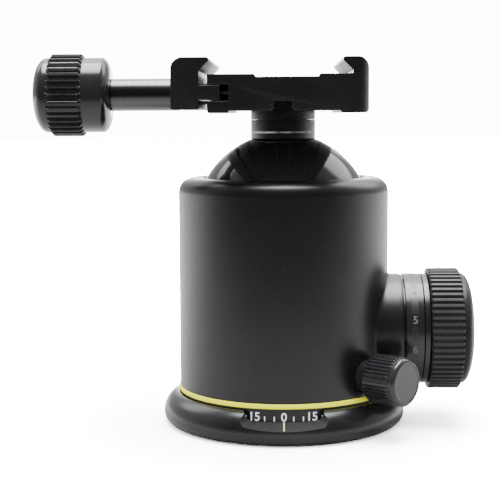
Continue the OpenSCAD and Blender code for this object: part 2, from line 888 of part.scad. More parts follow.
module jaw_springs() {
  x1 = body_face_x + slot_l + spring_deep;
  color("#b0b0b4") for (side = [-1, 1]) translate([0, side * spring_at, 0])
    along_x(x1 - spring_l, screw_z) tube(spring_r, spring_bore, spring_l);
}

module moving_jaw_profile() {
  side_deck = deck_t + deck_step;
  difference() {
    union() {
      translate([-jaw_t, jaw_foot]) square([jaw_t, side_deck]);
      translate([0, side_deck]) mirror([1, 0]) jaw_head_profile(jaw_t);
      translate([-1, axis_up - tongue_h / 2]) square([tongue_l + 1, tongue_h]);
    }
    translate([-jaw_t, jaw_foot]) mirror([1, 0]) mirror([0, 1]) corner_waste(0.5);
    translate([0, jaw_foot]) mirror([0, 1]) corner_waste(0.4);
  }
}

module moving_jaw() {
  color("#2c2c2f") difference() {
    translate([jaw_face_x, clamp_l / 2, clamp_z]) rotate([90, 0, 0])
      linear_extrude(height = clamp_l) moving_jaw_profile();
    along_x(jaw_back_x - 1, screw_z) cylinder(r = clamp_screw_r + 0.15, h = jaw_t + tongue_l + 5);
    along_x(jaw_back_x - 1, screw_z) cylinder(r = washer_r + 0.1, h = 1 + jaw_washer_t);
    for (side = [-1, 1]) translate([0, side * spring_at, 0])
      along_x(jaw_face_x + 1.2, screw_z) cylinder(r = spring_r + 0.15, h = tongue_l + 5);
  }
}

module jaw_washer() {
  color("#c6a052") along_x(jaw_back_x, screw_z)
    tube(washer_r, clamp_screw_r + fit, jaw_washer_t);
}

module clamp_screw() {
  x0 = ck_back_x - ck_len + 1;
  color("#bfbfc4") along_x(x0, screw_z) cylinder(r = clamp_screw_r, h = clamp_screw_end - x0);
}

module clamp_sleeve() {
  color("#6a6a6e") along_x(ck_back_x, screw_z) tube(sleeve_r, clamp_screw_r + fit, sleeve_l);
}

// Built towards -X from the sleeve's end
module from_sleeve_end() {
  translate([ck_back_x, 0, screw_z]) rotate([0, -90, 0]) children();
}

module clamp_knob() {
  shoulder = dome_points(ck_smooth_r, sleeve_r + 0.05, ck_shoulder, 2.3);
  color("#1c1c1e") from_sleeve_end() difference() {
    union() {
      rotate_extrude() polygon(concat(
        [[0, ck_rib_from + 0.5], [0, 0]],
        [for (i = [10:-1:0]) let (p = shoulder[i]) [p[0], ck_shoulder - p[1]]],
        [[ck_smooth_r, ck_rib_from + 0.5]]
      ));
      translate([0, 0, ck_rib_from])
        ribbed(clamp_ribs, clamp_knob_r, ck_rib_depth, ck_rib_l, 0.8, 0.3, 0.62);
    }
    translate([0, 0, -1]) cylinder(r = clamp_screw_r + 0.01, h = ck_len);
  }
}

module clamp_knob_cap() {
  color("#1c1c1e") from_sleeve_end() translate([0, 0, ck_len])
    rotate_extrude() cap_profile(ck_cap_r, ck_cap_l, ck_cap_edge, 2.6);
}

base_flange();
thread_insert();
pan_hub();
base_screws();
lower_bearing_washer();
index_line();
housing();
accent_ring();
housing_floor();
hub_retainer_ring();
retainer_screws();
upper_bearing_washer();
pan_lock_pad();
upper_seat_ring();
lower_cup();
ramp_block();
lock_wedge();
spindle_bushing();
detent_ball();
detent_spring();
friction_dial();
dial_snap_ring();
friction_springs();
knob_hub();
knob_grip();
knob_end_cap();
main_spindle();
spindle_screw();
pan_lock_knob();
pan_lock_screw();
pan_lock_collar();
ball_liner();
ball();
neck();
neck_stud();
key_disc();
clamp_body();
clamp_fixing_screw();
jaw_springs();
moving_jaw();
jaw_washer();
clamp_screw();
clamp_sleeve();
clamp_knob();
clamp_knob_cap();
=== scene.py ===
"""A tripod ball head: black anodised body on a panning base, with a screw clamp for dovetail plates.

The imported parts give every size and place. This script makes the surfaces that show, their finishes, the
printed scales, the studio and the camera.
"""

import json
import math

import bmesh
import bpy
import numpy as np
from mathutils import Matrix, Vector


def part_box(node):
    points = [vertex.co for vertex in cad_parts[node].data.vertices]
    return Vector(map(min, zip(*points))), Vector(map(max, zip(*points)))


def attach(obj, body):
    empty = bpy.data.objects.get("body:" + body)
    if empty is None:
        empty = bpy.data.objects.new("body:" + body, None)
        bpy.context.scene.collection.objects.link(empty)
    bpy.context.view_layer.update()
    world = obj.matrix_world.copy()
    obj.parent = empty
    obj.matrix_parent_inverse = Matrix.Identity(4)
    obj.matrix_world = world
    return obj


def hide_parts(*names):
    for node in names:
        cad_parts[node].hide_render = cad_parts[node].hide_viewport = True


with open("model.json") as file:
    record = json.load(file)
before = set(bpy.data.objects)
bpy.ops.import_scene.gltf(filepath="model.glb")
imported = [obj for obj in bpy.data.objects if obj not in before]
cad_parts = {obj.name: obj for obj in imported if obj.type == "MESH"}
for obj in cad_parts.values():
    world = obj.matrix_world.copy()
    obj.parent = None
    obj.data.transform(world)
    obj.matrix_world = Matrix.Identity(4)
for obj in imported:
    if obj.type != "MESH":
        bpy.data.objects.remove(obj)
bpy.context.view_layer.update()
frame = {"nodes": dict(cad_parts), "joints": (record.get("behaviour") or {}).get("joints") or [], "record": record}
scene = bpy.context.scene
nodes = frame["nodes"]

MM = 0.001
TURN = 2 * math.pi


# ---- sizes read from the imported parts, in millimetres ----


def span(node):
    """The lowest and highest corner of a CAD node, in millimetres."""
    low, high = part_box(node)
    return np.array(low) / MM, np.array(high) / MM


def joint(name):
    """The place and the axis of a joint, in millimetres."""
    found = next(j for j in frame["joints"] if j["name"] == name)
    return np.array(found.get("pos_m", [0, 0, 0])) / MM, np.array(found["axis"], float)


ball_at = joint("ball_tilt")[0]
ball_z = ball_at[2]
knob_z = joint("main_knob_turn")[0][2]
screw_z = joint("clamp_knob_turn")[0][2]
pan_at, pan_axis = joint("pan_lock_turn")

flange_high = span("base_flange")[1]
base_r = flange_high[0]
housing_low, housing_high = span("housing")
housing_r = housing_high[1]
housing_z = housing_low[2]
housing_top = housing_high[2]
ring_low, ring_high = span("accent_ring")
ball_r = span("ball")[1][1]
neck_low, neck_high = span("neck")
neck_r = neck_high[0]
disc_low, disc_high = span("key_disc")
clamp_low, clamp_high = span("clamp_body")
jaw_low, jaw_high = span("moving_jaw")
sleeve_low, sleeve_high = span("clamp_sleeve")
dial_low, dial_high = span("friction_dial")
hub_low, hub_high = span("knob_hub")
grip_low, grip_high = span("knob_grip")
cap_high = span("knob_end_cap")[1]
ck_low, ck_high = span("clamp_knob")
ckc_low, ckc_high = span("clamp_knob_cap")


# ---- mesh making ----


def frame_along(axis):
    """A 3 by 3 turn whose third column is the axis and whose second is as near to upright as it can be."""
    z = np.array(axis, float) / np.linalg.norm(axis)
    y = np.array([0.0, 0.0, 1.0]) - z[2] * z
    y /= np.linalg.norm(y)
    return np.column_stack([np.cross(y, z), y, z])


UPRIGHT = np.eye(3)
ALONG_X = frame_along((1, 0, 0))
BACK_X = frame_along((-1, 0, 0))
ALONG_PAN = frame_along(pan_axis)
# points nearer to one another than this, in metres, become one
WELD = 2e-7


def new_piece(name, points, faces, material, body, smooth=35.0):
    """A mesh object from points in millimetres, its faces turned outwards, riding on a body."""
    mesh = bpy.data.meshes.new(name)
    mesh.from_pydata((np.asarray(points) * MM).tolist(), [], faces)
    tidy = bmesh.new()
    tidy.from_mesh(mesh)
    bmesh.ops.remove_doubles(tidy, verts=tidy.verts, dist=WELD)
    bmesh.ops.recalc_face_normals(tidy, faces=tidy.faces)
    tidy.to_mesh(mesh)
    tidy.free()
    obj = bpy.data.objects.new(name, mesh)
    scene.collection.objects.link(obj)
    mesh.materials.append(material)
    shade(obj, smooth)
    if body:
        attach(obj, body)
    return obj


def shade(obj, angle):
    """Smooth shading that breaks at edges sharper than the angle. Faces of many corners stay flat."""
    mesh = obj.data
    corners = np.zeros(len(mesh.polygons), np.int32)
    mesh.polygons.foreach_get("loop_total", corners)
    mesh.polygons.foreach_set("use_smooth", corners < 5)
    mesh.set_sharp_from_angle(angle=math.radians(angle))


def grid_faces(rows, cols, wrap_rows=False):
    """Quads over a grid of rows by cols points, numbered row by row. Each row is a closed ring."""
    r = np.arange(rows if wrap_rows else rows - 1)
    rr, cc = np.meshgrid(r, np.arange(cols), indexing="ij")
    r2 = (rr + 1) % rows
    c2 = (cc + 1) % cols
    quads = np.stack([rr * cols + cc, rr * cols + c2, r2 * cols + c2, r2 * cols + cc], axis=-1)
    return quads.reshape(-1, 4).tolist()


def rounded(corners, per_turn=48, closed=False):
    """A path through corners (a, b, radius): each corner is an arc of its radius, tangent to both sides.

    An arc that finds no room takes the greatest radius that its two sides leave it.
    """
    most = 0.98  # the share of a side that an arc may take
    pts = [np.array(c[:2], float) for c in corners]
    out = []
    count = len(pts)
    for i, corner in enumerate(corners):
        radius = corner[2] if len(corner) > 2 else 0
        if radius <= 0 or (not closed and i in (0, count - 1)):
            out.append(pts[i])
            continue
        a = pts[i - 1] - pts[i]
        b = pts[(i + 1) % count] - pts[i]
        la, lb = np.linalg.norm(a), np.linalg.norm(b)
        a, b = a / la, b / lb
        angle = math.acos(np.clip(np.dot(a, b), -1, 1))
        if angle > math.pi - 1e-3:
            out.append(pts[i])
            continue
        reach = min(radius / math.tan(angle / 2), most * la, most * lb)
        radius = reach * math.tan(angle / 2)
        middle = pts[i] + (a + b) / np.linalg.norm(a + b) * radius / math.sin(angle / 2)
        start, end = pts[i] + a * reach - middle, pts[i] + b * reach - middle
        sweep = math.atan2(start[0] * end[1] - start[1] * end[0], np.dot(start, end))
        steps = max(3, int(abs(sweep) / TURN * per_turn) + 1)
        t = np.linspace(0, sweep, steps)
        turned = np.column_stack(
            [start[0] * np.cos(t) - start[1] * np.sin(t), start[0] * np.sin(t) + start[1] * np.cos(t)]
        )
        out.extend(turned + middle)
    out = np.array(out)
    apart = np.linalg.norm(out - np.roll(out, 1, axis=0), axis=1) > 1e-3
    apart[0] = True
    return out[apart]


def finer(path, step):
    """The same path with points added so that none of its stretches is longer than step."""
    out = [path[:1]]
    for a, b in zip(path[:-1], path[1:]):
        n = max(1, int(np.linalg.norm(b - a) / step))
        out.append(a + (b - a) * (np.arange(1, n + 1) / n)[:, None])
    return np.concatenate(out)


def revolve(name, path, material, body, origin=(0, 0, 0), turn=UPRIGHT, around=192, loop=False, shape=None,
            smooth=35.0):
    """The path (radius, height) carried round the third axis of turn.

    shape(angle, radius, height) may give each point another radius, as for ribs. A path that starts or ends
    on the axis is closed there by a pole, and loop joins its last point to its first, as on a ring.
    """
    path = np.asarray(path, float)
    angle = np.arange(around) * TURN / around
    radius = np.repeat(path[:, :1], around, axis=1)
    height = np.repeat(path[:, 1:2], around, axis=1)
    if shape is not None:
        radius = shape(angle[None, :], radius, height)
    local = np.stack([radius * np.cos(angle), radius * np.sin(angle), height], axis=-1)
    points = local.reshape(-1, 3) @ np.asarray(turn).T + np.asarray(origin, float)
    faces = grid_faces(len(path), around, wrap_rows=loop)
    return new_piece(name, points, faces, material, body, smooth)


def loft(name, rings, material, body, smooth=35.0):
    """Rings of equally many points joined one to the next, with a face closing each end."""
    rings = np.asarray(rings, float)
    rows, cols = rings.shape[:2]
    faces = grid_faces(rows, cols)
    faces.append(list(range(cols))[::-1])
    faces.append(list(range((rows - 1) * cols, rows * cols)))
    return new_piece(name, rings.reshape(-1, 3), faces, material, body, smooth)


def rod(radius, low, high, material, origin=(0, 0, 0), turn=UPRIGHT, around=72):
    """A round cutter between two heights on an axis."""
    path = [[0, low], [radius, low], [radius, high], [0, high]]
    return revolve("rod", path, material, None, origin=origin, turn=turn, around=around)


def upright(outline, y):
    """An outline in X and Z as points at one Y."""
    return np.column_stack([outline[:, 0], np.full(len(outline), y), outline[:, 1]])


def inset(outline, by):
    """A closed outline drawn in by a small distance, each point along its own normal."""
    ahead = np.roll(outline, -1, axis=0) - outline
    behind = outline - np.roll(outline, 1, axis=0)
    ahead /= np.linalg.norm(ahead, axis=1)[:, None] + 1e-12
    behind /= np.linalg.norm(behind, axis=1)[:, None] + 1e-12
    mean = ahead + behind
    mean /= np.linalg.norm(mean, axis=1)[:, None]
    normal = np.column_stack([-mean[:, 1], mean[:, 0]])
    half = np.clip(np.abs(np.sum(mean * ahead, axis=1)), 0.5, 1)
    return outline + normal * (by / half)[:, None]


def without(piece, cutter):
    """Cuts a piece by a cutter, which is used up. The cut faces take the cutter's material."""
    mod = piece.modifiers.new("cut", "BOOLEAN")
    mod.operation = "DIFFERENCE"
    mod.object = cutter
    mod.solver = "EXACT"
    mod.material_mode = "TRANSFER"
    apply_modifiers(piece)
    bpy.data.objects.remove(cutter)
    shade(piece, 30)


def apply_modifiers(piece):
    """Makes the mesh what its modifiers show, and takes them off."""
    bpy.context.view_layer.update()
    seen = piece.evaluated_get(bpy.context.evaluated_depsgraph_get())
    mesh = bpy.data.meshes.new_from_object(seen)
    piece.modifiers.clear()
    old = piece.data
    piece.data = mesh
    bpy.data.meshes.remove(old)


# how fine the patterns are, in blotches to the metre: in metal's tone, gloss and surface, in plastic's tone and
# surface, in what breaks a worn line, and in dust
TONE, GLOSS, GRAIN = 60.0, 900.0, 5200.0
MOTTLE, PLASTIC_GRAIN = 300.0, 2500.0
WEAR, DUST = 170.0, 420.0


class Nodes:
    """A node tree, with short words for making and joining its nodes."""

    def __init__(self, tree):
        self.tree = tree

    def feed(self, socket, value):
        """Gives an input a value, or joins an output to it."""
        if isinstance(value, bpy.types.NodeSocket):
            self.tree.links.new(value, socket)
        else:
            socket.default_value = value

    def node(self, kind, inputs=None, **settings):
        """A new node with these settings, and with its inputs fed."""
        made = self.tree.nodes.new(kind)
        for key, value in settings.items():
            setattr(made, key, value)
        for key, value in (inputs or {}).items():
            self.feed(made.inputs[key], value)
        return made

    def math(self, operation, *values):
        """A sum worked out from values and outputs."""
        return self.node("ShaderNodeMath", dict(enumerate(values)), operation=operation).outputs[0]

    def blend(self, share, a, b, kind):
        """Value a, going over to b by a share."""
        return self.node("ShaderNodeMix", {"Factor": share, "A": a, "B": b}, data_type=kind).outputs["Result"]

    def remap(self, value, source, target, **settings):
        """A value carried from one span to another, and held at its ends."""
        made = self.node("ShaderNodeMapRange", {"Value": value}, **settings)
        for side, (low, high) in (("From", source), ("To", target)):
            self.feed(made.inputs[side + " Min"], low)
            self.feed(made.inputs[side + " Max"], high)
        return made.outputs["Result"]


class Finish(Nodes):
    """A material with its gloss, and the patterns that colour it and raise it."""

    def __init__(self, name, color, rough, metal=0.0, specular=0.5):
        self.mat = bpy.data.materials.new(name)
        self.mat.use_nodes = True
        super().__init__(self.mat.node_tree)
        self.put("Base Color", (*color, 1))
        self.put("Roughness", rough)
        self.put("Metallic", metal)
        self.put("Specular IOR Level", specular)
        self.where = self.node("ShaderNodeTexCoord").outputs["Object"]
        self.bumps = None

    def put(self, name, value):
        """Feeds an input of the shader."""
        self.feed(self.tree.nodes["Principled BSDF"].inputs[name], value)

    def stretch(self, scale):
        """Object coordinates multiplied by three numbers, to draw a pattern out along an axis."""
        return self.node("ShaderNodeMapping", {"Scale": scale, "Vector": self.where}).outputs["Vector"]

    def noise(self, scale, detail=3.0, rough=0.5, where=None):
        """A cloud of noise with this many blotches to the metre."""
        inputs = {"Scale": scale, "Detail": detail, "Roughness": rough, "Vector": where or self.where}
        return self.node("ShaderNodeTexNoise", inputs).outputs["Fac"]

    def ramp(self, value, stops):
        """A value turned into a grey through stops of (place, grey)."""
        made = self.node("ShaderNodeValToRGB", {"Fac": value})
        line = made.color_ramp
        while len(line.elements) < len(stops):
            line.elements.new(0.5)
        for element, (place, grey) in zip(line.elements, stops):
            element.position = place
            element.color = (grey, grey, grey, 1)
        return made.outputs["Color"]

    def mix(self, share, a, b):
        """Colour a, going over to b by a share."""
        return self.blend(share, *((*c, 1) if isinstance(c, tuple) else c for c in (a, b)), "RGBA")

    def bump(self, value, height):
        """Raises the surface by the value times a height in millimetres, over what raises it already."""
        made = self.node("ShaderNodeBump", {"Distance": height * MM, "Height": value})
        if self.bumps is not None:
            self.feed(made.inputs["Normal"], self.bumps)
        self.bumps = made.outputs["Normal"]
        self.put("Normal", self.bumps)

    def line_at(self, height, half):
        """A broken line round a piece at a height, in millimetres: 1 on it and 0 past its half width."""
        z = self.node("ShaderNodeSeparateXYZ", {"Vector": self.where}).outputs["Z"]
        far = self.math("ABSOLUTE", self.math("SUBTRACT", z, height * MM))
        near = self.remap(far, (0.0, half * MM), (1.0, 0.0))
        return self.math("MULTIPLY", near, self.ramp(self.noise(WEAR, 2.0), [(0.4, 0.15), (0.62, 1.0)]))

    def dust(self, color, amount):
        """Fine pale specks of dust scattered over a colour."""
        speck = (0.16, 0.15, 0.14)
        made = self.node("ShaderNodeTexVoronoi", {"Scale": DUST, "Vector": self.where}, feature="F1")
        share = self.ramp(made.outputs["Distance"], [(0.0, 1.0), (amount, 0.6), (amount * 1.8, 0.0)])
        keep = self.ramp(self.noise(DUST * 0.5, 1.0), [(0.56, 0.0), (0.62, 1.0)])
        return self.mix(self.math("MULTIPLY", share, keep), color, speck)


def anodised(name, color, rough, grain=0.004, specular=0.5, dusty=0.03, spread=0.06, edge=0.0, worn=None):
    """Black anodised aluminium: a faint cloudiness of tone and gloss, a very fine grain, and dust.

    An edge radius rounds the look of sharp edges. Worn is the height and half width of a bare line. These and
    the grain are in millimetres.
    """
    f = Finish(name, color, rough, specular=specular)
    if edge:
        f.bumps = f.node("ShaderNodeBevel", {"Radius": edge * MM}, samples=4).outputs["Normal"]
    light = tuple(c * 1.35 + 0.002 for c in color)
    tone = f.mix(f.ramp(f.noise(TONE), [(0.35, 0.0), (0.7, 1.0)]), color, light)
    tone = f.dust(tone, dusty)
    if worn:
        bare = (0.85, 0.85, 0.82)
        tone = f.mix(f.line_at(*worn), tone, bare)
    f.put("Base Color", tone)
    f.put("Roughness", f.remap(f.noise(GLOSS, 2.0), (0.0, 1.0), (rough - spread / 2, rough + spread / 2)))
    f.bump(f.noise(GRAIN, 2.0), grain)
    return f.mat


def turned_metal(name, color, rough, axis, depth=0.004):
    """Bare metal off a lathe: fine rings round an axis, as bands of noise drawn out across it."""
    along, across = 2600.0, 14.0  # to the metre
    f = Finish(name, color, rough, metal=1.0)
    rings = f.noise(1.0, 4.0, 0.7, f.stretch([along if i == axis else across for i in range(3)]))
    f.put("Base Color", f.mix(rings, tuple(c * 0.7 for c in color), color))
    f.put("Roughness", f.remap(rings, (0.0, 1.0), (rough * 0.8, rough * 1.25)))
    f.bump(rings, depth)
    return f.mat


def plain_plastic(name, color, rough, specular=0.5):
    """Smooth moulded plastic with a faint mottle."""
    f = Finish(name, color, rough, specular=specular)
    f.put("Base Color", f.mix(f.noise(MOTTLE), tuple(c * 0.94 for c in color), color))
    f.bump(f.noise(PLASTIC_GRAIN, 2.0), 0.003)
    return f.mat


housing_black = anodised("housing_black", (0.0024, 0.0024, 0.0028), 0.33, grain=0.0012)
flange_black = anodised("flange_black", (0.006, 0.006, 0.0066), 0.25, grain=0.0004, spread=0.02)
sill_black = anodised("sill_black", (0.011, 0.011, 0.012), 0.55, grain=0.0015, specular=0.25)
ball_black = anodised("ball_black", (0.006, 0.0061, 0.0068), 0.11, grain=0.0002, dusty=0.018, spread=0.02)
neck_black = anodised("neck_black", (0.003, 0.003, 0.0034), 0.3, grain=0.0012)
neck_worn = anodised("neck_worn", (0.003, 0.003, 0.0034), 0.3, grain=0.0012, worn=(79.1, 0.32))
knob_black = anodised("knob_black", (0.008, 0.008, 0.0088), 0.24, grain=0.0006)
grip_black = anodised("grip_black", (0.012, 0.012, 0.0134), 0.17, grain=0.0005)
rubber_black = anodised("rubber_black", (0.022, 0.022, 0.0235), 0.45, grain=0.002, specular=0.22)
cap_black = anodised("cap_black", (0.012, 0.012, 0.0132), 0.28, grain=0.0006, specular=0.12)
clamp_black = anodised("clamp_black", (0.0034, 0.0034, 0.0038), 0.34, grain=0.002, edge=0.15)
dark_steel = turned_metal("dark_steel", (0.1, 0.1, 0.105), 0.24, 0, depth=0.002)
steel = turned_metal("steel", (0.55, 0.55, 0.57), 0.28, 2)
bare_aluminium = turned_metal("bare_aluminium", (0.74, 0.74, 0.76), 0.32, 2)
brass = turned_metal("brass", (0.72, 0.52, 0.24), 0.3, 2)
slide_plastic = plain_plastic("slide_plastic", (0.8, 0.79, 0.74), 0.45)
accent_yellow = plain_plastic("accent_yellow", (0.95, 0.96, 0.01), 0.55, specular=0.05)
index_cream = plain_plastic("index_cream", (0.72, 0.63, 0.36), 0.5)
print_white = plain_plastic("print_white", (0.86, 0.87, 0.88), 0.5)
frosted_grey = plain_plastic("frosted_grey", (0.012, 0.012, 0.013), 0.34)
print_grey = plain_plastic("print_grey", (0.1, 0.1, 0.105), 0.5)

BY_SLOT = {
    "body_black": housing_black,
    "base_black": flange_black,
    "ball_gloss": ball_black,
    "knob_black": knob_black,
    "clamp_black": clamp_black,
    "dark_steel": dark_steel,
    "steel": steel,
    "bare_aluminium": bare_aluminium,
    "brass": brass,
    "slide_plastic": slide_plastic,
    "accent_yellow": accent_yellow,
    "index_cream": index_cream,
}
for entry in frame["record"]["subparts"]:
    cad = nodes[entry["node"]]
    cad.data.materials.clear()
    cad.data.materials.append(BY_SLOT[entry["material_slot"]])


# ---- the panning base ----

BULGE_R = 6.0
recess_r = housing_r + 0.3
sill_z = housing_z + 0.95
# the window's sill, in distances from the axis: level up to the first, then down by the drop to the second
sill_inner, sill_outer, sill_drop = recess_r - 0.2, base_r + 0.2, 1.8


def flange():
    """The base disc: a path with the rim's large and small bulge, carried round, with the window cut out."""
    centre_r, floor_z, bevel = 7.05, 4.2, 0.25
    screw_r, screw_ring_r, screw_deep = 2.7, 12.6, 3.2
    crown = 0.18
    bulge_z = flange_high[2] + crown - BULGE_R
    bulge_at = base_r - BULGE_R
    t_high = np.linspace(0, 1, 40)
    start = math.acos((recess_r + 0.25 - bulge_at) / BULGE_R)
    upper = np.column_stack(
        [
            bulge_at + BULGE_R * np.cos(start * (1 - t_high)),
            bulge_z + BULGE_R * np.sin(start * (1 - t_high)),
        ]
    )
    foot_at = base_r - bulge_z
    t_low = np.linspace(0, 1, 20)[1:] * math.radians(82)
    lower = np.column_stack([foot_at + bulge_z * np.cos(t_low), bulge_z - bulge_z * np.sin(t_low)])
    edge = bulge_z + math.sqrt(BULGE_R**2 - (recess_r - bulge_at) ** 2)
    path = np.vstack(
        [
            [[centre_r, bevel], [centre_r, floor_z], [recess_r - 0.3, floor_z], [recess_r, floor_z + 0.3]],
            [[recess_r, edge - 0.3], [recess_r + 0.06, edge - 0.1]],
            upper,
            lower,
            [[foot_at - 0.7, 0.0], [centre_r + bevel, 0.0]],
        ]
    )
    piece = revolve("flange", path, flange_black, "base", around=360, loop=True)
    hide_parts("base_flange")
    without(piece, window_cutter())
    for angle in np.arange(4) * TURN / 4:
        at = (screw_ring_r * math.cos(angle), screw_ring_r * math.sin(angle), 0)
        without(piece, rod(screw_r, -1, screw_deep, flange_black, at, around=48))


def window_outline(width, low, corner, top):
    """The window's outline in X and Z, with its two lower corners rounded."""
    w = width / 2
    return rounded([(-w, top), (-w, low, corner), (w, low, corner), (w, top)], per_turn=64, closed=True)


def window_cutter():
    """A loft between the window's small outline at the housing and its large one at the rim."""
    top = flange_high[2] + 3
    small, large = (20.4, sill_z, 2.4), (35.0, sill_z - sill_drop, 6.4)
    sides = []
    for y, (width, low, corner) in ((-sill_inner + 3.8, small), (-sill_inner, small), (-sill_outer, large)):
        outline = window_outline(width, low, corner, top)
        sides.append(upright(outline, y))
    return loft("window", sides, sill_black, None)


def index_bar():
    """The index line: a thin bar laid into the window's sill, down its slope from the housing to the rim."""
    w, under, over = 0.16, 0.3, 0.05
    slope = sill_drop / (sill_outer - sill_inner)
    sides = []
    for y in (-recess_r - 0.1, -base_r + 0.6):
        z = sill_z - slope * (-sill_inner - y)
        corners = [[-w, z - under], [w, z - under], [w, z + over], [-w, z + over]]
        sides.append(upright(np.array(corners), y))
    piece = loft("index_bar", sides, index_cream, "base")
    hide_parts("index_line")


def accent():
    """The yellow-green ring: a small rounded rectangle carried round."""
    lo, hi, r = ring_low[2], ring_high[2], ring_high[0]
    path = rounded([(r - 0.8, lo), (r, lo, 0.25), (r, hi, 0.25), (r - 0.8, hi)], per_turn=64, closed=True)
    piece = revolve("ring", path, accent_yellow, "housing", around=360, loop=True)
    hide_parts("accent_ring")


# ---- the housing ----


def shell():
    """The body: a path up its outside, over the rounded edge and down the bore, with its openings cut."""
    lip_r, throat_r, bore_r, foot_r, step_z = 21.45, 22.9, 25.1, 25.5, 21.2
    groove_r = housing_r - 0.6
    throat_z = housing_top - 2.4
    path = rounded(
        [
            (foot_r, housing_z),
            (housing_r, housing_z, 0.15),
            (housing_r, ring_low[2], 0.1),
            (groove_r, ring_low[2]),
            (groove_r, ring_high[2]),
            (housing_r, ring_high[2], 0.12),
            (housing_r, housing_top, 4.0),
            (lip_r, housing_top, 0.7),
            (lip_r + 0.5, housing_top - 1.2, 0.5),
            (throat_r, throat_z),
            (bore_r, throat_z),
            (bore_r, step_z),
            (foot_r, step_z),
        ],
        per_turn=96,
        closed=True,
    )
    piece = revolve("body", path, housing_black, "housing", around=360, loop=True)
    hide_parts("housing")
    notch_r = 9.3
    angle = np.linspace(math.pi, TURN, 33)
    slot = np.vstack(
        [
            np.column_stack([notch_r * np.cos(angle), ball_z + notch_r * np.sin(angle)]),
            [[notch_r, housing_top + 5], [-notch_r, housing_top + 5]],
        ]
    )
    sides = [upright(slot, y) for y in (5.0, housing_r + 5)]
    without(piece, loft("notch", sides, housing_black, None))
    screw_r, seat_r, seat_from, hub_r, inside, outside = 2.6, 4.6, 27.0, 9.0, 15, 34
    path = [[0, inside], [screw_r, inside], [screw_r, seat_from], [seat_r, seat_from], [seat_r, outside]]
    path.append([0, outside])
    without(piece, revolve("seat", path, housing_black, None, origin=pan_at, turn=ALONG_PAN, around=72))
    without(piece, rod(hub_r, inside, outside, housing_black, (0, 0, knob_z), ALONG_X))


def boss():
    """The main knob's boss: straight lines from the saddle on the housing to the end face.

    Round the knob's axis the start of each line lies where the boss's radius meets the housing's cylinder.
    The first rows flare a little into the corner, as the cutter left it.
    """
    r = dial_high[1]
    around = 288
    angle = np.arange(around) * TURN / around
    end = dial_low[0] - 0.2
    hub_r, room_r, room_end, inside = 8.0, 8.95, end + 4.8, -3.0

    def saddle(radius):
        return np.sqrt(np.clip(housing_r**2 - (radius * np.cos(angle)) ** 2, 0, None))

    rows = []
    for radius, start in ((hub_r, inside), (r - 1.0, inside), (r + 0.28, -0.12), (r + 0.1, 0.12), (r, 0.4)):
        rows.append((np.full(around, radius), saddle(radius) + start))
    for share in np.linspace(0.2, 1.0, 5):
        rows.append((np.full(around, r), (saddle(r) + 0.4) * (1 - share) + (end - 0.25) * share))
    mouth = [(r - 0.07, end - 0.07), (r - 0.25, end), (room_r + 0.15, end), (room_r, end + 0.1)]
    for radius, x in (*mouth, (room_r, room_end), (hub_r, room_end)):
        rows.append((np.full(around, radius), np.full(around, x)))
    radius = np.array([a for a, _ in rows])
    x = np.array([b for _, b in rows])
    points = np.stack([x, radius * np.cos(angle), knob_z + radius * np.sin(angle)], axis=-1)
    faces = grid_faces(len(rows), around, wrap_rows=True)
    piece = new_piece("knob_boss", points.reshape(-1, 3), faces, housing_black, "housing")


# ---- knobs ----

# the holes for the screws through knobs and clamp, and the hole for the neck's stud
SCREW_R = 3.1
STUD_R = 5.0


def ribs(count, depth, first, last, run, crest, side):
    """A shape for revolve: count ribs between two heights, cut by depth, running out at each end.

    Each rib is flat over its crest share and falls to the groove over the side share, as a smooth step.
    """

    def shape(angle, radius, height):
        phase = np.abs((angle * count / TURN + 0.5) % 1.0 - 0.5) * 2
        t = np.clip((phase - crest) / (2 * side), 0, 1)
        groove = t * t * (3 - 2 * t)
        rise = np.clip((height - first) / run, 0, 1) * np.clip((last - height) / run, 0, 1)
        return radius - depth * groove * (height >= first) * (height <= last) * np.sqrt(rise)

    return shape


def domed(outer, start, rise, power, inner=0.0):
    """The path of a domed end from its middle out: a quarter of a superellipse of this rise and radius."""
    t = np.linspace(math.pi / 2, 0, 40)
    radius = inner + (outer - inner) * np.cos(t) ** (2 / power)
    return np.column_stack([radius, start + rise * np.sin(t)])


def main_knob():
    """Hub with its collar, ribbed grip and end cap, all on the knob's axis."""
    core_r, grip_bore_r, rib_count, rib_deep = 13.4, 13.5, 60, 0.75
    r, x0, x1, x2 = hub_high[1], hub_low[0], grip_low[0] - 0.1, hub_high[0]
    at = (0, 0, knob_z)
    path = rounded(
        [(SCREW_R, x0), (r, x0, 0.1), (r, x1, 0.35), (core_r, x1), (core_r, x2), (SCREW_R, x2)],
        per_turn=64,
        closed=True,
    )
    piece = revolve("knob_collar", path, knob_black, "main_knob", at, ALONG_X, around=288, loop=True)
    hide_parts("knob_hub")

    g, g0, g1 = grip_high[1], grip_low[0], grip_high[0]
    bevel = 0.3
    path = rounded(
        [
            (grip_bore_r, g0),
            (g - bevel, g0),
            (g, g0 + bevel, 0.15),
            (g, g1 - bevel, 0.15),
            (g - bevel, g1),
            (grip_bore_r, g1),
        ],
        per_turn=48,
        closed=True,
    )
    shape = ribs(rib_count, rib_deep, g0, g1, 0.01, crest=0.42, side=0.13)
    piece = revolve("grip_ring", path, rubber_black, "main_knob", at, ALONG_X, around=rib_count * 18,
                    loop=True, shape=shape, smooth=30)
    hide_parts("knob_grip")

    # squarer and 0.7 mm larger in radius than its solid
    c, dome_from = cap_high[1] + 0.7, g1 + 0.9
    dome = domed(c, dome_from, cap_high[0] - dome_from, 3.0)
    seat = [[c, g1 - 0.05], [core_r, g1 - 0.05], [core_r, g1 - 0.5], [0, g1 - 0.5]]
    path = np.vstack([dome, seat])
    piece = revolve("knob_cap", path, cap_black, "main_knob", at, ALONG_X, around=288)
    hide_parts("knob_end_cap")


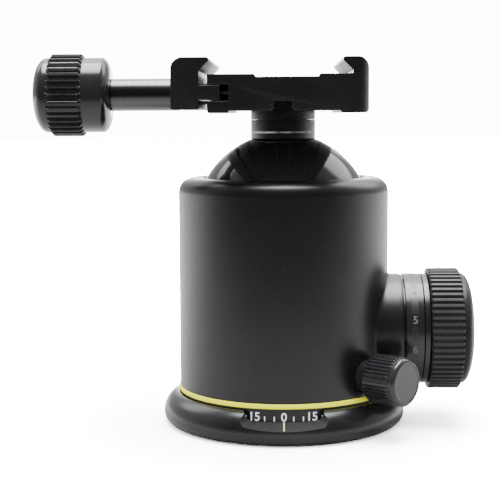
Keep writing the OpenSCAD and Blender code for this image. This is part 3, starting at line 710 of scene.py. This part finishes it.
def dial():
    """The friction dial: a ring with a groove beside the boss."""
    r, x0, x1 = dial_high[1], dial_low[0], dial_high[0]
    bore_r, groove_r, groove_x = 9.0, r - 1.4, x0 + 0.4
    path = rounded(
        [
            (bore_r, x0),
            (groove_r, x0, 0.1),
            (groove_r, groove_x, 0.05),
            (r, groove_x, 0.15),
            (r, x1, 0.1),
            (bore_r, x1),
        ],
        per_turn=64,
        closed=True,
    )
    at = (0, 0, knob_z)
    piece = revolve("dial_ring", path, knob_black, "friction_dial", at, ALONG_X, around=288, loop=True)
    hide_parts("friction_dial")


def clamp_knob():
    """Shoulder, ribbed band and domed end cap, built from the sleeve's end towards -X."""
    bore_r, neck_end_r, shoulder_l, bevel, rib_count, rib_deep = 3.0, 4.4, 2.4, 0.7, 36, 1.0
    x0 = -ck_high[0]
    r = ck_high[1]
    at = (0, 0, screw_z)
    smooth_r = ckc_high[1]
    band0 = x0 + 7.1
    band1 = -ck_low[0]
    shoulder = domed(smooth_r, x0 + shoulder_l, -shoulder_l, 2.3, inner=neck_end_r)
    band = rounded(
        [
            (smooth_r, x0 + shoulder_l + 0.1),
            (smooth_r, band0, 0.1),
            (r, band0 + bevel, 0.5),
            (r, band1 - bevel, 0.5),
            (smooth_r, band1, 0.1),
            (bore_r, band1),
        ],
        per_turn=96,
    )
    path = finer(np.vstack([[[bore_r, x0]], shoulder, band, [[bore_r, x0]]]), 0.6)[:-1]
    shape = ribs(rib_count, rib_deep, band0 + 0.1, band1 - 0.1, 0.5, crest=0.14, side=0.2)
    piece = revolve("clamp_grip", path, grip_black, "clamp_knob", at, BACK_X, around=rib_count * 18,
                    loop=True, shape=shape, smooth=30)
    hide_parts("clamp_knob")
    dome_from = band1 + 0.9
    dome = domed(smooth_r, dome_from, -ckc_low[0] - dome_from, 2.6)
    path = np.vstack([dome, [[smooth_r, band1 + 0.03], [0, band1 + 0.03]]])
    piece = revolve("clamp_cap", path, grip_black, "clamp_knob", at, BACK_X, around=240)
    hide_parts("clamp_knob_cap")


def sleeve():
    """The bare sleeve between jaw and knob. It stops a hair short of the jaw's face."""
    bore_r, hair = 3.0, 0.05
    x0, x1, r = -sleeve_high[0] + hair, -sleeve_low[0], sleeve_high[1]
    path = rounded([(bore_r, x0), (r, x0, 0.2), (r, x1, 0.2), (bore_r, x1)], per_turn=64, closed=True)
    piece = revolve("sleeve", path, dark_steel, "clamp_knob", (0, 0, screw_z), BACK_X, around=144, loop=True)
    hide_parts("clamp_sleeve")


def pan_lock():
    """The pan lock's collar and knob, built outwards along the lock's axis."""
    knob_mesh = nodes["pan_lock_knob"].data
    co = np.zeros(len(knob_mesh.vertices) * 3, np.float32)
    knob_mesh.vertices.foreach_get("co", co)
    along = co.reshape(-1, 3).astype(float) @ pan_axis / MM
    x0, x1 = along.min(), along.max()
    knob_low, knob_high = span("pan_lock_knob")
    r = (knob_high[2] - knob_low[2]) / 2
    bore_r, rib_count, rib_deep, face_deep = 2.5, 38, 0.42, 0.12
    ribs_end = x1 - 1.9
    path = rounded(
        [
            (bore_r, x0),
            (r - 0.5, x0, 0.1),
            (r, x0 + 0.5, 0.15),
            (r, ribs_end - 0.35, 0.15),
            (r - rib_deep, ribs_end, 0.1),
            (r - rib_deep, ribs_end + 0.25, 0.1),
            (r - 0.1, ribs_end + 0.5, 0.2),
            (r - 0.1, x1, 1.15),
            (r - 1.35, x1, 0.3),
            (r - 1.5, x1 - face_deep, 0.15),
            (0, x1 - face_deep),
        ],
        per_turn=96,
    )
    shape = ribs(rib_count, rib_deep, x0 + 0.05, ribs_end - 0.02, 0.3, crest=0.42, side=0.16)
    piece = revolve("pan_knob", finer(path, 0.4), grip_black, "pan_lock", pan_at, ALONG_PAN,
                    around=rib_count * 16, shape=shape, smooth=30)
    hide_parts("pan_lock_knob")
    collar_from, collar_to, collar_r, lip_r = 27.3, x0 - 0.02, 4.5, 4.9
    path = rounded(
        [
            (bore_r, collar_from),
            (collar_r, collar_from, 0.1),
            (collar_r, x0 - 0.35, 0.4),
            (lip_r, collar_to, 0.1),
            (bore_r, collar_to),
        ],
        per_turn=64,
        closed=True,
    )
    piece = revolve("pan_collar", path, knob_black, "pan_lock", pan_at, ALONG_PAN, around=120, loop=True)
    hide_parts("pan_lock_collar")


# ---- ball and neck ----


def ball():
    """A sphere by its own formula, flattened where the neck stands and drilled for the stud."""
    top = neck_low[2] - ball_z
    lowest = math.acos(top / ball_r)
    polar = np.linspace(math.pi, lowest + 0.012, 120)
    arc = np.column_stack([ball_r * np.sin(polar), ball_r * np.cos(polar)])
    arc[0, 0] = 0
    hole_end = 3.5
    path = np.vstack([arc, [[neck_r - 0.05, top], [STUD_R, top], [STUD_R, hole_end], [0, hole_end]]])
    piece = revolve("ball_head", path, ball_black, "ball", ball_at, around=240)
    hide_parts("ball")


def neck():
    """The neck, and the disc on it with the key that stands in the clamp's groove."""
    lo, hi = neck_low[2], neck_high[2]
    corners = [(STUD_R, lo), (neck_r, lo, 0.12), (neck_r, hi, 0.05), (STUD_R, hi)]
    path = rounded(corners, per_turn=64, closed=True)
    piece = revolve("neck_tube", path, neck_worn, "clamp", around=192, loop=True)
    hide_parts("neck")
    lo, hi = disc_low[2], clamp_underside - 0.02
    corners = [(SCREW_R, lo), (neck_r, lo, 0.05), (neck_r, hi, 0.1), (SCREW_R, hi)]
    path = rounded(corners, per_turn=64, closed=True)
    piece = revolve("neck_disc", path, neck_black, "clamp", around=192, loop=True)
    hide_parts("key_disc")
    half, flare, key_top = 2.25, 0.9, disc_high[2]
    root, foot = clamp_underside + flare, clamp_underside - 0.1
    outline = rounded(
        [
            (-half - flare, foot),
            (-half, root, 0.6),
            (-half, key_top, 0.25),
            (half, key_top, 0.25),
            (half, root, 0.6),
            (half + flare, foot),
        ],
        per_turn=48,
    )
    reach = math.sqrt(neck_r**2 - half**2) - 0.05
    piece = loft("neck_key", [upright(outline, y) for y in (-reach, reach)], neck_black, "clamp")
    without(piece, rod(SCREW_R, 70, 100, neck_black, around=48))


# ---- clamp ----

clamp_underside = disc_low[2] + 2.35
# a jaw's V: its foot below the top, its root and its upper end above the foot, and how far it leans out
V_FOOT, V_ROOT, V_END, V_LEAN = 4.2, 0.78, 3.28, 2.5


def clamp_body():
    """The clamp's cross-section carried along Y, with the fixed jaw's outer corners rounded in plan."""
    x0, x1 = clamp_low[0], clamp_high[0]
    z0, z1 = clamp_low[2], clamp_high[2]
    under, shelf = clamp_underside, z1 - V_FOOT
    deck = shelf - 0.7
    slot_lo, slot_hi, slot_x = screw_z - 2.05, screw_z + 2.05, x0 + 5.3
    key, bevel, key_top = 2.3, 0.75, under + 2.4
    root = x1 - 3.2
    wall = x1 + 0.9  # further out than the solid's
    outline = rounded(
        [
            (x0, slot_lo, 0.2),
            (x0, z0, 0.5),
            (x0 + 5.1, z0, 0.2),
            (x0 + 5.4, under, 0.15),
            (-key - bevel, under, 0.2),
            (-key, under + bevel, 0.3),
            (-key, key_top, 0.25),
            (key, key_top, 0.25),
            (key, under + bevel, 0.3),
            (key + bevel, under, 0.2),
            (x1 - 6.3, under, 0.15),
            (x1 - 6.0, z0, 0.3),
            (wall, z0, 1.1),
            (wall, z1, 3.0),
            (root - V_LEAN, z1, 0.65),
            (root - V_LEAN, shelf + V_END, 0.65),
            (root, shelf + V_ROOT, 0.15),
            (root, shelf, 0.15),
            (9.25, shelf, 0.25),
            (8.9, deck, 0.2),
            (-6.9, deck, 0.2),
            (-7.2, shelf, 0.25),
            (x0, shelf, 0.2),
            (x0, slot_hi, 0.2),
            (slot_x, slot_hi, 0.15),
            (slot_x, slot_lo, 0.15),
        ],
        per_turn=56,
        closed=True,
    )
    piece = prism("clamp_deck", outline, clamp_low[1], clamp_high[1], clamp_black, "clamp", plan_r=3.2)
    well_r, well_mouth_r, floor, over = 4.9, 5.2, under + 4.4, deck + 5
    path = [[0, floor], [well_r, floor], [well_r, deck - 0.3], [well_mouth_r, deck], [well_mouth_r, over]]
    path.append([0, over])
    without(piece, revolve("well", path, clamp_black, None, around=96))
    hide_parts("clamp_body")


def prism(name, outline, y0, y1, material, body, edge=0.12, plan_r=0.0):
    """An outline in X and Z carried along Y, its ends drawn in over a small quarter round.

    plan_r rounds the corners at the highest X in plan: at a distance d from an end, no point lies further out
    than x_max - plan_r + sqrt(plan_r^2 - (plan_r - d)^2).
    """
    turn = np.linspace(0, math.pi / 2, 4)
    steps = [(edge * (1 - math.sin(t)), edge * (1 - math.cos(t))) for t in turn[::-1]]
    steps += [(plan_r * (1 - math.cos(t)), 0.0) for t in np.linspace(0, math.pi / 2, 13) if plan_r]
    steps = [s for s in steps if s[1] > 0 or s[0] >= edge]
    x_max = outline[:, 0].max()

    def ring(distance, by, y):
        drawn = inset(outline, by)
        if distance < plan_r:
            furthest = x_max - by - plan_r + math.sqrt(plan_r**2 - (plan_r - distance) ** 2)
            drawn[:, 0] = np.minimum(drawn[:, 0], furthest)
        return upright(drawn, y)

    rings = [ring(d, by, y0 + d) for d, by in steps] + [ring(d, by, y1 - d) for d, by in steps[::-1]]
    return loft(name, rings, material, body, smooth=30)


def moving_jaw():
    """The moving jaw's cross-section with its tongue, carried along Y."""
    x0, tip = jaw_low[0], jaw_high[0]
    z0, z1 = jaw_low[2], jaw_high[2]
    face = x0 + 7.0
    foot = z1 - V_FOOT
    tongue_lo, tongue_hi = screw_z - 1.8, screw_z + 1.8
    outline = rounded(
        [
            (x0, z0, 0.5),
            (face, z0, 0.4),
            (face, tongue_lo, 0.15),
            (tip, tongue_lo, 0.3),
            (tip, tongue_hi, 0.3),
            (face, tongue_hi, 0.15),
            (face, foot + V_ROOT, 0.15),
            (face + V_LEAN, foot + V_END, 0.65),
            (face + V_LEAN, z1, 0.65),
            (x0, z1, 3.0),
        ],
        per_turn=56,
        closed=True,
    )
    piece = prism("sliding_jaw", outline, jaw_low[1], jaw_high[1], clamp_black, "jaw")
    without(piece, rod(SCREW_R, x0 - 5, tip + 5, clamp_black, (0, 0, screw_z), ALONG_X, around=64))
    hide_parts("moving_jaw")


# ---- printed scales ----


def glyphs(text, height, bold):
    """The outline of some numbers as points and faces in a plane, centred, of a height in millimetres."""
    curve = bpy.data.curves.new("glyphs", "FONT")
    curve.body = text
    curve.align_x = "CENTER"
    curve.extrude = 0.02
    curve.offset = bold
    curve.resolution_u = 6
    carrier = bpy.data.objects.new("glyphs", curve)
    scene.collection.objects.link(carrier)
    bpy.context.view_layer.update()
    mesh = bpy.data.meshes.new_from_object(carrier.evaluated_get(bpy.context.evaluated_depsgraph_get()))
    points = np.zeros(len(mesh.vertices) * 3, np.float32)
    mesh.vertices.foreach_get("co", points)
    points = points.reshape(-1, 3).astype(float)
    faces = [list(p.vertices) for p in mesh.polygons]
    bpy.data.objects.remove(carrier)
    bpy.data.meshes.remove(mesh)
    size = np.ptp(points[:, 1])
    points[:, 0] -= (points[:, 0].max() + points[:, 0].min()) / 2
    points[:, 1] -= points[:, 1].min() + size / 2
    return points * (height / size), faces


def bar(width, height):
    """A plain bar as a closed box in a plane, centred."""
    w, h, d = width / 2, height / 2, 0.05
    points = np.array([[x, y, z] for z in (-d, d) for y in (-h, h) for x in (-w, w)])
    faces = [[0, 1, 3, 2], [4, 6, 7, 5], [0, 4, 5, 1], [2, 3, 7, 6], [0, 2, 6, 4], [1, 5, 7, 3]]
    return points, faces


def wrap(shapes, radius, turn, origin):
    """Flat shapes laid on a cylinder.

    Each shape is (points, faces, angle, height, tilted). Its x runs round the cylinder from the angle and its
    y along the axis, or the other way round where it is tilted. Its two faces stand just over and under the
    surface.
    """
    half_thick, lift = 0.03, 0.012
    all_points, all_faces, base = [], [], 0
    for points, faces, angle, height, tilted in shapes:
        x, y = (points[:, 1], points[:, 0]) if tilted else (points[:, 0], points[:, 1])
        a = angle + x / radius
        deep = np.sign(points[:, 2]) * half_thick + lift
        local = np.column_stack([(radius + deep) * np.cos(a), (radius + deep) * np.sin(a), height + y])
        all_points.append(local)
        all_faces.extend([[i + base for i in f] for f in faces])
        base += len(points)
    return np.vstack(all_points) @ turn.T + origin, all_faces


def pan_scale():
    """Numbers every 15 degrees and ticks every 5, with 0 at the front, round the housing's foot."""
    shapes = []
    tall, short, step = 2.25, 1.25, 5
    tick = bar(0.28, short)
    for degrees in range(-175, 181, step):
        angle = math.radians(degrees) - math.pi / 2
        if degrees % 15 == 0:
            shapes.append((*glyphs(str(abs(degrees)), tall, 0.012), angle, sill_z + tall / 2 + 0.02, False))
        else:
            shapes.append((*tick, angle, sill_z + short / 2 + 0.015, False))
    points, faces = wrap(shapes, housing_r, UPRIGHT, np.zeros(3))
    piece = new_piece("pan_scale", points, faces, print_white, "housing")


def dial_marks():
    """Numbers every 30 degrees round the dial, with a frosted bar between each two."""
    numbers, bars = [], []
    r = dial_high[1]
    x = dial_low[0] + 2.75
    at = np.array([0, 0, knob_z])
    tall, five_at, step = 2.05, math.radians(180 - 17.1), math.radians(30)
    frosted = bar_arc(1.75, r * math.radians(17))
    for n in range(1, 11):
        angle = five_at + (n - 5) * step
        points, faces = glyphs(str(n), tall, 0.01)
        numbers.append((points * np.array([1, -1, 1]), faces, angle, x, True))
        if n < 10:
            bars.append((*frosted, angle + step / 2, x, True))
    points, faces = wrap(numbers, r, ALONG_X, at)
    piece = new_piece("dial_numbers", points, faces, print_grey, "friction_dial")
    points, faces = wrap(bars, r - 0.015, ALONG_X, at)
    piece = new_piece("dial_bars", points, faces, frosted_grey, "friction_dial")


def bar_arc(width, length):
    """A bar cut into short steps along its length, so that it follows a curve."""
    steps, w, d = 12, width / 2, 0.05
    y = np.linspace(-length / 2, length / 2, steps + 1)
    corners = [(-w, -d), (w, -d), (w, d), (-w, d)]
    points = np.array([[x, v, z] for v in y for x, z in corners])
    faces = grid_faces(steps + 1, 4)
    faces.append([0, 1, 2, 3])
    faces.append([steps * 4 + i for i in (3, 2, 1, 0)])
    return points, faces


flange()
index_bar()
accent()
shell()
boss()
main_knob()
dial()
clamp_knob()
sleeve()
pan_lock()
ball()
neck()
clamp_body()
moving_jaw()
pan_scale()
dial_marks()


# ---- studio ----

# how bright the surround is: to the camera, where nothing else shines, and in patches. A patch is a
# direction, the cosines between which it grows to full strength, and that strength.
BACKDROP = 14.0
FRONT_GLOW = 0.1
PATCHES = (
    ((0, 1, 0), -0.75, 0.35, 0.85),
    ((0, 1, 0.03), 0.965, 0.99, 13.0),
    ((0, 0.9, 0.42), 0.88, 0.98, 3.2),
    ((0, 0.42, 0.9), 0.82, 0.96, 6.5),
    ((0, 0.08, 0.99), 0.88, 0.965, 26.0),
    ((0.6, 0.5, 0.63), 0.92, 0.975, 5.5),
    ((-0.6, 0.5, 0.63), 0.95, 0.985, 4.5),
)
# what matt surfaces get from every side, so that white print is white while gloss stays dark in front
FILL = 2.2
# how far over white the camera sees the paper: near the object and away from it, over this stretch in metres. The
# lower gain near the object is painted shade on the paper round its foot
GAIN_NEAR, GAIN_FAR = 3.4, 30.0
GAIN_SPAN = (0.05, 0.4)
# the paper as reflections see it: from dim to bright over this stretch of Y in metres, by a power law. This is
# painted light: the paper is painted dim in front and bright behind
PAPER_SPAN = (-0.4, 0.2)
PAPER_DIM, PAPER_BRIGHT, PAPER_POWER = 0.01, 0.62, 1.25


def studio():
    """A white floor and surround. Reflections see it bright behind and dim in front, with patches between."""
    corners = np.array([[-4, -4, 0], [4, -4, 0], [4, 4, 0], [-4, 4, 0]]) / MM
    new_piece("floor", corners, [[0, 1, 2, 3]], table_white(), None)
    world = bpy.data.worlds.new("surround")
    scene.world = world
    world.use_nodes = True
    sky = Nodes(world.node_tree)
    ray = sky.node("ShaderNodeTexCoord").outputs["Generated"]
    shine = FRONT_GLOW
    for toward, start, full, strength in PATCHES:
        # the brighter of what was there and a patch that grows where the ray nears its direction
        ends = {0: ray, 1: Vector(toward).normalized()}
        near = sky.node("ShaderNodeVectorMath", ends, operation="DOT_PRODUCT").outputs["Value"]
        patch = sky.remap(near, (start, full), (0.0, strength), interpolation_type="SMOOTHSTEP")
        shine = sky.math("MAXIMUM", patch, shine)
    path = sky.node("ShaderNodeLightPath")
    matt = sky.blend(path.outputs["Is Diffuse Ray"], shine, FILL, "FLOAT")
    seen = sky.blend(path.outputs["Is Camera Ray"], matt, BACKDROP, "FLOAT")
    back = sky.tree.nodes["Background"]
    sky.feed(back.inputs["Strength"], seen)
    sky.feed(back.inputs["Color"], (1, 1, 1, 1))


def table_white():
    """White table paper. The camera sees it overexposed, as in the photograph, and darker near the object as
    painted shade. Reflections see it as paper painted dim in front and bright behind, as painted light.
    """
    mat = bpy.data.materials.new("table_white")
    mat.use_nodes = True
    paper = Nodes(mat.node_tree)
    paper.tree.nodes.remove(paper.tree.nodes["Principled BSDF"])
    where = paper.node("ShaderNodeTexCoord").outputs["Object"]
    away = paper.node("ShaderNodeVectorMath", {0: where}, operation="LENGTH").outputs["Value"]
    # painted shade: the camera sees the paper darker near the object and brighter away from it
    seen = paper.remap(away, GAIN_SPAN, (GAIN_NEAR, GAIN_FAR))
    y = paper.node("ShaderNodeSeparateXYZ", {"Vector": where}).outputs["Y"]
    # painted light: reflections see the paper dim in front and bright behind
    fade = paper.math("POWER", paper.remap(y, PAPER_SPAN, (0.0, 1.0)), PAPER_POWER)
    reflected = paper.math("MULTIPLY_ADD", fade, PAPER_BRIGHT, PAPER_DIM)
    first, second = (
        paper.node("ShaderNodeBsdfDiffuse", {"Color": gain}).outputs["BSDF"] for gain in (reflected, seen)
    )
    path = paper.node("ShaderNodeLightPath")
    mix = paper.node("ShaderNodeMixShader", {"Fac": path.outputs["Is Camera Ray"], 1: first, 2: second})
    paper.feed(paper.tree.nodes["Material Output"].inputs["Surface"], mix.outputs["Shader"])
    return mat


def camera():
    """The photograph's view: a long lens a little above the middle, turned and tipped a little."""
    focal_px, photo_px = 1264.4, 500
    place = Vector((-0.0004, -0.3444, 0.0840))
    pitch, yaw, roll = 0.1072, 0.0254, -0.0057
    ahead = Vector((-math.sin(yaw) * math.cos(pitch), math.cos(yaw) * math.cos(pitch), -math.sin(pitch)))
    right = Vector((math.cos(yaw), math.sin(yaw), 0))
    up = right.cross(ahead)
    right, up = (
        right * math.cos(roll) + up * math.sin(roll),
        up * math.cos(roll) - right * math.sin(roll),
    )
    lens = bpy.data.cameras.new("view")
    lens.sensor_width = 36
    lens.lens = focal_px / photo_px * lens.sensor_width
    lens.clip_start = 0.01
    eye = bpy.data.objects.new("view", lens)
    scene.collection.objects.link(eye)
    eye.matrix_world = Matrix.Translation(place) @ Matrix((right, up, -ahead)).transposed().to_4x4()
    scene.camera = eye


studio()
camera()
